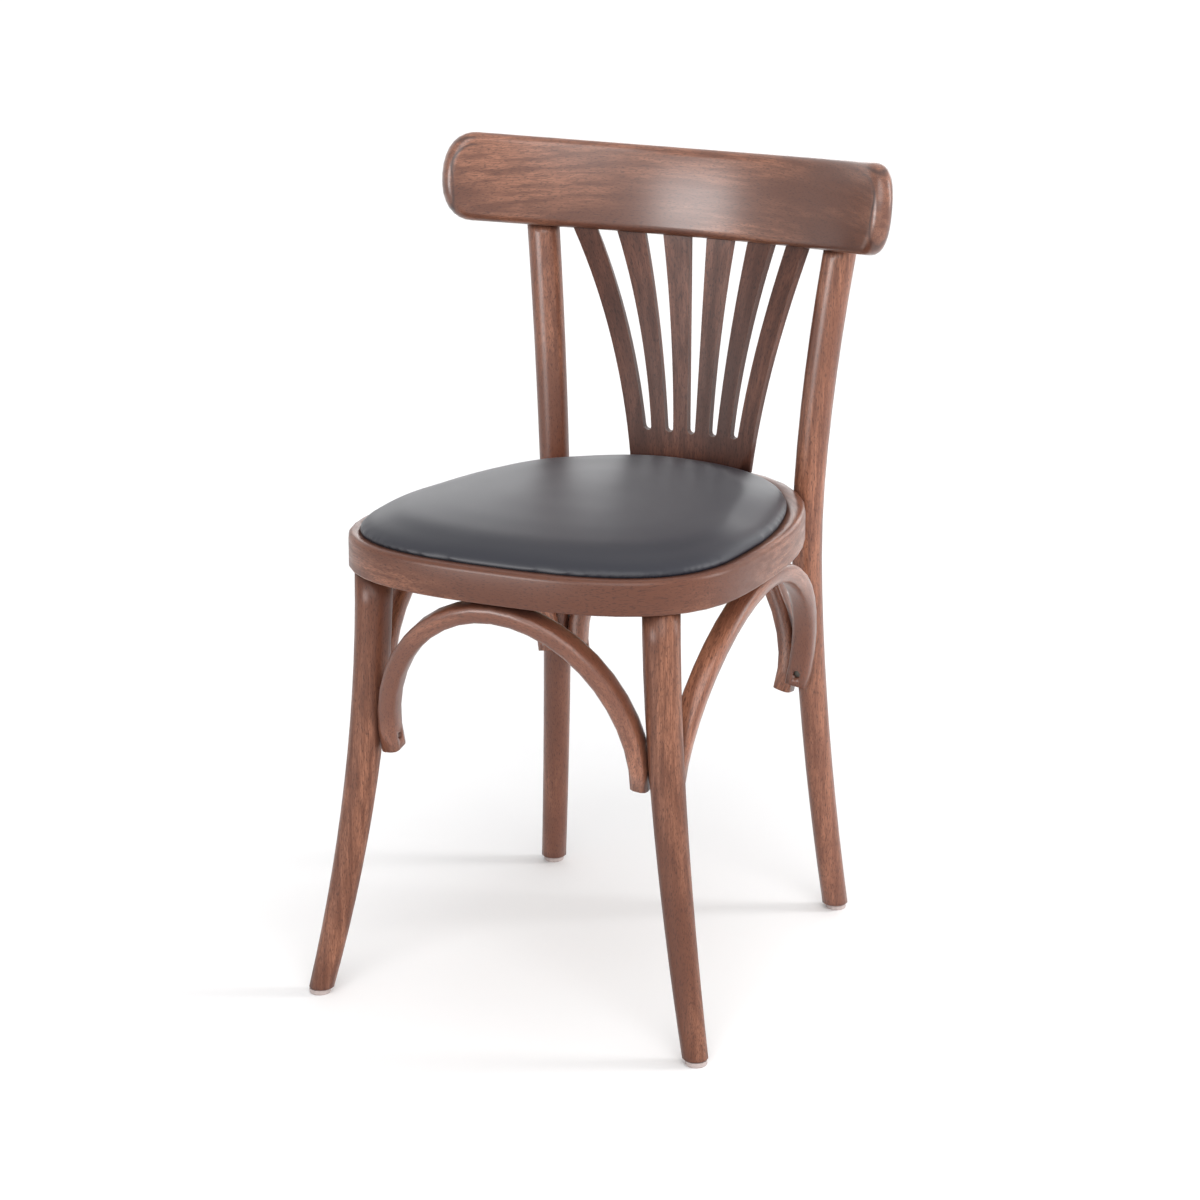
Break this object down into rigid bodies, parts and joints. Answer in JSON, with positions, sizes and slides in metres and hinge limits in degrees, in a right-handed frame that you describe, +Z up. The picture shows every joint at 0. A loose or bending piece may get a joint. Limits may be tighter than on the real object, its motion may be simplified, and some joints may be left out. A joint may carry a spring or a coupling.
{
  "type": "bentwood dining chair",
  "caption": "Bentwood dining chair with a fan back under a curved crest rail, a drop-in padded seat in a bent ring, and arches between the splayed legs.",
  "frame": {"origin": "on the floor, under the middle of the whole chair's bounding box", "axes": "+Z up, -Y the way the chair faces, +X the sitter's left"},
  "size_m": [0.485, 0.4939, 0.7935],
  "materials": {
    "stained_beech": "walnut-brown stained beech under satin lacquer",
    "stained_plywood": "dark brown stained veneered plywood under satin lacquer",
    "seat_plywood": "plain unfinished plywood",
    "seat_foam": "cream polyurethane foam",
    "black_leatherette": "black leatherette with a soft sheen",
    "white_plastic": "white moulded plastic",
    "dark_steel": "darkened steel"
  },
  "bodies": {
    "root": {"seat_ring": "stained_beech", "crest_rail": "stained_beech", "front_leg_left": "stained_beech", "front_leg_right": "stained_beech", "rear_post_left": "stained_beech", "rear_post_right": "stained_beech", "front_arch": "stained_beech", "rear_arch": "stained_beech", "left_arch": "stained_beech", "right_arch": "stained_beech", "fan_splat": "stained_plywood", "seat_board": "seat_plywood", "cushion_foam": "seat_foam", "cushion_cover": "black_leatherette", "glide_front_left": "white_plastic", "glide_front_right": "white_plastic", "glide_rear_left": "white_plastic", "glide_rear_right": "white_plastic", "front_arch_screw_1": "dark_steel", "front_arch_screw_2": "dark_steel", "front_arch_crown_screw": "dark_steel", "rear_arch_screw_1": "dark_steel", "rear_arch_screw_2": "dark_steel", "rear_arch_crown_screw": "dark_steel", "left_arch_screw_1": "dark_steel", "left_arch_screw_2": "dark_steel", "left_arch_crown_screw": "dark_steel", "right_arch_screw_1": "dark_steel", "right_arch_screw_2": "dark_steel", "right_arch_crown_screw": "dark_steel", "seat_screw_1": "dark_steel", "seat_screw_2": "dark_steel", "seat_screw_3": "dark_steel", "seat_screw_4": "dark_steel", "post_bolt_left": "dark_steel", "crest_screw_left_1": "dark_steel", "crest_screw_left_2": "dark_steel", "post_bolt_right": "dark_steel", "crest_screw_right_1": "dark_steel", "crest_screw_right_2": "dark_steel"}
  },
  "joints": []
}
